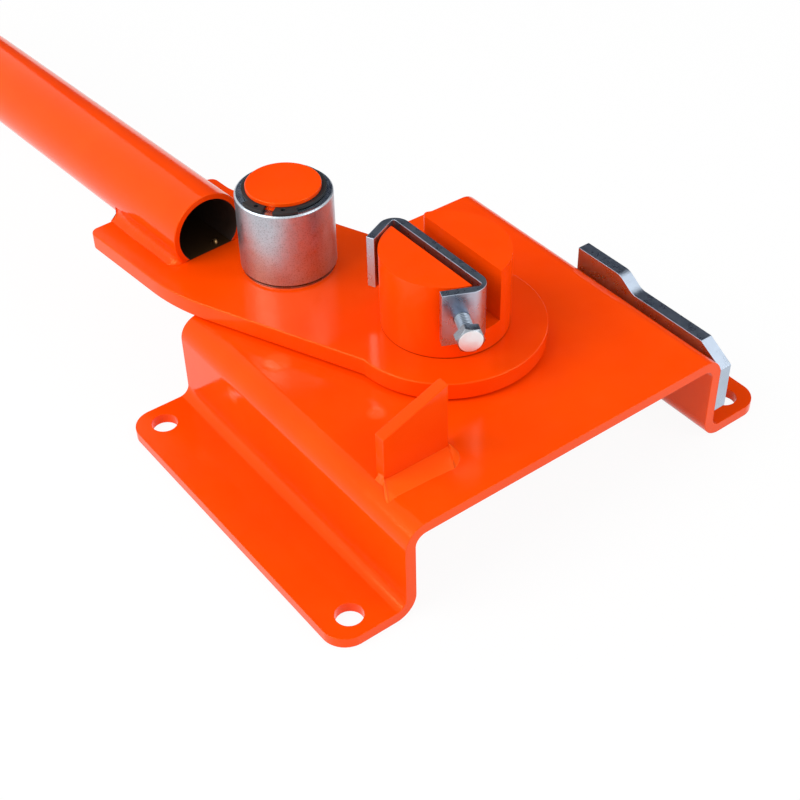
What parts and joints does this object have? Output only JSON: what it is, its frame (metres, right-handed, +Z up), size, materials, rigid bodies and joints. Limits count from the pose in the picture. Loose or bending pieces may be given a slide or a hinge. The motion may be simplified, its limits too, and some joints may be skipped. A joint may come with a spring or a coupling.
{
  "type": "manual bar bender",
  "caption": "Bench-mounted manual bar bender: slotted centre boss, swinging arm with roller and tube handle, folded steel base, two arm stops and a clamp clip.",
  "frame": {"origin": "centre of the bench hole pattern, in the plane that the feet stand on", "axes": "+Z up along the pivot axis, +Y to the back where the handle lies at rest, +X to the side with the zinc-plated stop plate"},
  "size_m": [0.281, 0.6816, 0.1162],
  "materials": {
    "orange_paint": "glossy powder coat",
    "zinc_plating": "bright blue-white zinc plating",
    "black_spring_steel": "blackened and oiled",
    "bush_bronze": "machined",
    "black_plastic": "moulded"
  },
  "bodies": {
    "base": {"base_plate": "orange_paint", "arm_stop_tab": "orange_paint", "stop_tab_weld": "orange_paint", "stop_plate": "zinc_plating", "stop_plate_bolts": "zinc_plating", "stop_plate_washers": "zinc_plating", "stop_plate_nuts": "zinc_plating", "centre_boss": "orange_paint", "thrust_washer": "zinc_plating", "boss_washer": "zinc_plating", "boss_nut": "zinc_plating"},
    "clip": {"clamp_bracket": "zinc_plating"},
    "screw": {"clamp_bolt": "zinc_plating"},
    "arm": {"arm_plate": "orange_paint", "pivot_bush": "bush_bronze", "handle_tube": "orange_paint", "handle_weld": "orange_paint", "handle_end_plug": "black_plastic", "roller_pin": "orange_paint", "roller_pin_weld": "orange_paint", "roller_washer": "zinc_plating", "roller_circlip": "black_spring_steel"},
    "roller": {"roller": "zinc_plating"}
  },
  "joints": [
    {"name": "arm_swing", "type": "hinge", "parent": "base", "child": "arm", "pos_m": [0.001, 0.0025, 0.0615], "axis": [0, 0, 1], "range_deg": [-80.3, 73.8]},
    {"name": "roller_spin", "type": "hinge", "parent": "arm", "child": "roller", "pos_m": [-0.0338, 0.09411, 0.09], "axis": [0, 0, 1], "continuous": true},
    {"name": "screw_turn", "type": "hinge", "parent": "base", "child": "screw", "pos_m": [-0.02327, -0.04576, 0.097], "axis": [-0.4226, -0.9063, 0], "range_deg": [0, 541]},
    {"name": "clip_slide", "type": "slide", "parent": "base", "child": "clip", "axis": [0.4226, 0.9063, 0], "range_m": [0, 0.00187]}
  ],
  "couplings": [
    {"joint": "screw_turn", "follows": "clip_slide", "rad_per_m": 5026.5}
  ]
}
